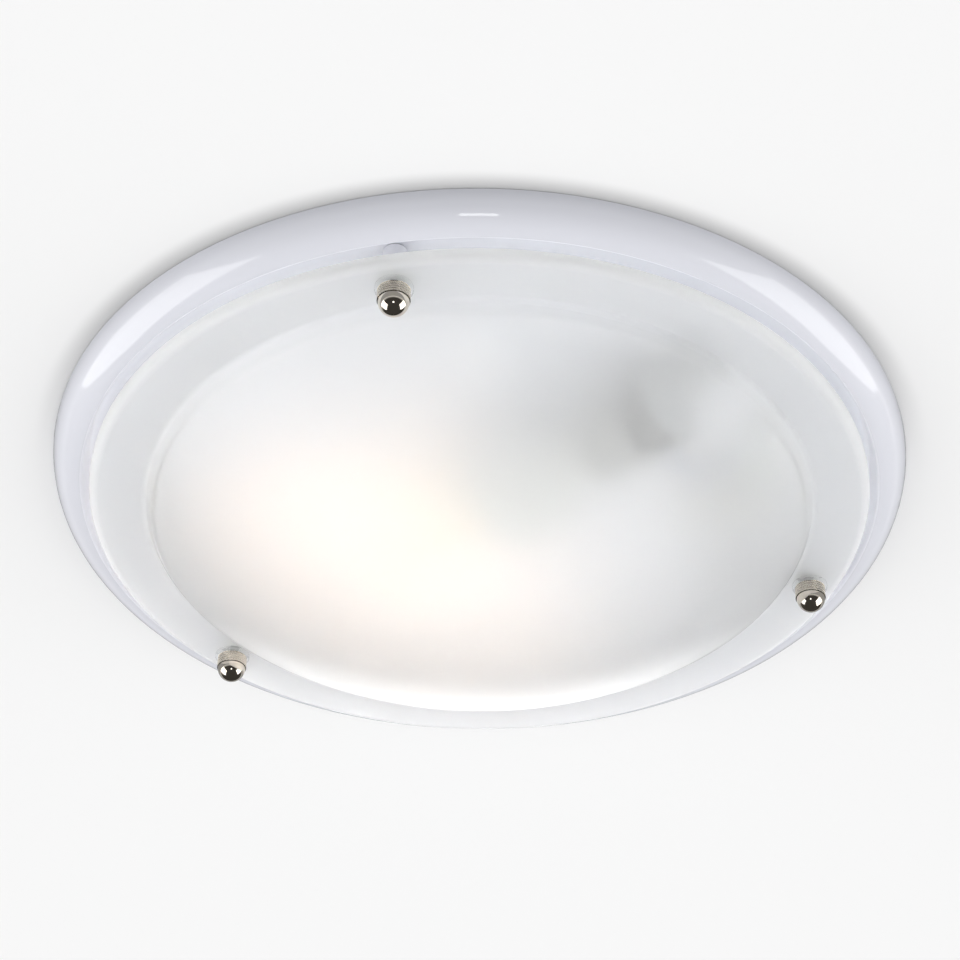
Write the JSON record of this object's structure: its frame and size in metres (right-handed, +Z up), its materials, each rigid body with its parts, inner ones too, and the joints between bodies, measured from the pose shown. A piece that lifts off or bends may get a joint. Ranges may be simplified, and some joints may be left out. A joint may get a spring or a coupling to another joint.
{
  "type": "flush ceiling light",
  "caption": "Round flush ceiling light: pressed pan with a rolled rim, frosted glass dish held by knurled finial nuts, compact lamp on a bracket inside.",
  "frame": {"origin": "centre of the pan's ceiling face, on the ceiling plane", "axes": "+Z up into the ceiling, the light hangs towards -Z; the picture looks along +Y and up, with +X to its right"},
  "size_m": [0.3, 0.3, 0.06],
  "materials": {
    "pan_paint": "gloss powder coat",
    "frosted_glass": "satin frosted",
    "bracket_steel": "zinc plated",
    "screw_steel": "zinc plated",
    "holder_black": "moulded black",
    "contact_brass": "stamped",
    "solder": "dull solder",
    "insulator_black": "black glass",
    "cap_metal": "nickel plated",
    "lamp_plastic": "moulded white",
    "board_laminate": "circuit laminate",
    "tube_glass": "phosphor coated, lit",
    "block_plastic": "natural polyamide",
    "grommet_rubber": "moulded",
    "tag_metal": "tinned",
    "lead_brown": "insulation",
    "lead_blue": "insulation",
    "lead_green": "insulation, striped",
    "spacer_nylon": "nylon tube",
    "soft_silicone": "soft",
    "clear_vinyl": "clear soft washer",
    "finial_nickel": "polished nickel"
  },
  "bodies": {
    "root": {"pan": "pan_paint", "bracket": "bracket_steel", "bracket_screws": "screw_steel", "lampholder_screws": "screw_steel", "lampholder_base": "holder_black", "lampholder_shell": "holder_black", "centre_contact": "contact_brass", "side_contact": "contact_brass", "terminal_block": "block_plastic", "terminal_inserts": "contact_brass", "clamp_screws": "screw_steel", "block_screws": "screw_steel", "grommet": "grommet_rubber", "earth_washer": "screw_steel", "earth_tag": "tag_metal", "earth_screw": "contact_brass", "live_lead": "lead_brown", "neutral_lead": "lead_blue", "earth_lead": "lead_green", "stud_1": "screw_steel", "spacer_1": "spacer_nylon", "cushion_1": "soft_silicone", "stud_2": "screw_steel", "spacer_2": "spacer_nylon", "cushion_2": "soft_silicone", "stud_3": "screw_steel", "spacer_3": "spacer_nylon", "cushion_3": "soft_silicone"},
    "glass": {"glass_dish": "frosted_glass"},
    "lamp_tip": {"lamp_contact": "solder"},
    "lamp": {"lamp_insulator": "insulator_black", "lamp_cap": "cap_metal", "lamp_housing": "lamp_plastic", "lamp_collar": "lamp_plastic", "ballast_board": "board_laminate", "lamp_tube_1": "tube_glass", "lamp_tube_2": "tube_glass", "lamp_tube_3": "tube_glass"},
    "washer_1": {"clear_washer_1": "clear_vinyl"},
    "finial_1": {"finial_1": "finial_nickel"},
    "washer_2": {"clear_washer_2": "clear_vinyl"},
    "finial_2": {"finial_2": "finial_nickel"},
    "washer_3": {"clear_washer_3": "clear_vinyl"},
    "finial_3": {"finial_3": "finial_nickel"}
  },
  "joints": [
    {"name": "glass_lower", "type": "slide", "parent": "root", "child": "glass", "axis": [0, 0, -1], "range_m": [0, 0.08]},
    {"name": "lamp_travel", "type": "slide", "parent": "root", "child": "lamp_tip", "axis": [-0.7893, 0.61, -0.0698], "range_m": [0, 0.01411]},
    {"name": "lamp_turn", "type": "hinge", "parent": "lamp_tip", "child": "lamp", "pos_m": [0.06099, -0.06495, -0.018], "axis": [-0.7893, 0.61, -0.0698], "range_deg": [0, 1800]},
    {"name": "finial_1_travel", "type": "slide", "parent": "glass", "child": "washer_1", "axis": [0, 0, -1], "range_m": [0, 0.0056]},
    {"name": "finial_1_turn", "type": "hinge", "parent": "washer_1", "child": "finial_1", "pos_m": [-0.02769, -0.12189, -0.018], "axis": [0, 0, -1], "range_deg": [0, 2880]},
    {"name": "finial_2_travel", "type": "slide", "parent": "glass", "child": "washer_2", "axis": [0, 0, -1], "range_m": [0, 0.0056]},
    {"name": "finial_2_turn", "type": "hinge", "parent": "washer_2", "child": "finial_2", "pos_m": [0.11941, 0.03696, -0.018], "axis": [0, 0, -1], "range_deg": [0, 2880]},
    {"name": "finial_3_travel", "type": "slide", "parent": "glass", "child": "washer_3", "axis": [0, 0, -1], "range_m": [0, 0.0056]},
    {"name": "finial_3_turn", "type": "hinge", "parent": "washer_3", "child": "finial_3", "pos_m": [-0.09172, 0.08493, -0.018], "axis": [0, 0, -1], "range_deg": [0, 2880]}
  ],
  "couplings": [
    {"joint": "lamp_turn", "follows": "lamp_travel", "rad_per_m": 2226.5},
    {"joint": "finial_1_turn", "follows": "finial_1_travel", "rad_per_m": 8976},
    {"joint": "finial_2_turn", "follows": "finial_2_travel", "rad_per_m": 8976},
    {"joint": "finial_3_turn", "follows": "finial_3_travel", "rad_per_m": 8976}
  ]
}
